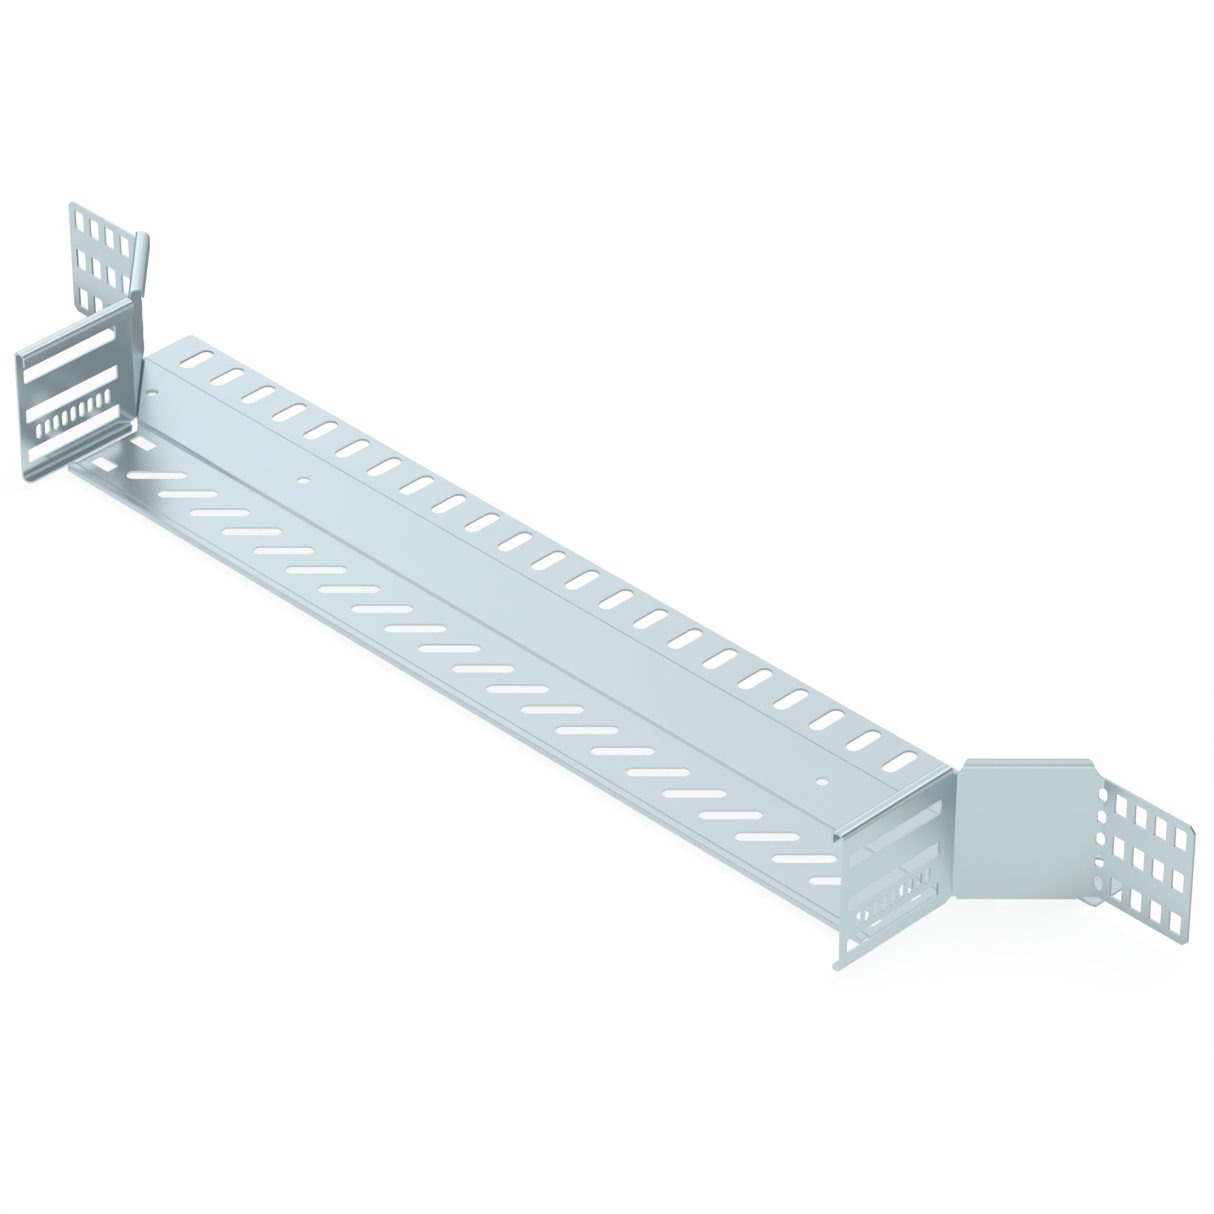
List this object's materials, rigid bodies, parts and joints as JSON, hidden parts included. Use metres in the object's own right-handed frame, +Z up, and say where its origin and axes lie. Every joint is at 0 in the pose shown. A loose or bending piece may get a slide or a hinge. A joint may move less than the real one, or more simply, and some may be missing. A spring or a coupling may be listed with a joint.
{
  "type": "cable tray branch",
  "caption": "Add-on side branch for perforated cable tray: slotted sheet floor plate between two folded corner brackets with rolled top edges and punched side and wing plates.",
  "frame": {"origin": "bottom centre of the box around the whole branch, under the middle of the floor plate, level with the underside of its rear strip", "axes": "+X along the main tray towards the right-hand bracket, -Y out along the branch towards its mouth, +Z up"},
  "size_m": [0.8084, 0.1628, 0.0856],
  "materials": {
    "floor_zinc": "galvanised sheet, satin",
    "bracket_zinc": "galvanised sheet, satin"
  },
  "bodies": {
    "root": {"floor_plate": "floor_zinc", "corner_bracket_left": "bracket_zinc", "corner_bracket_right": "bracket_zinc"}
  },
  "joints": []
}
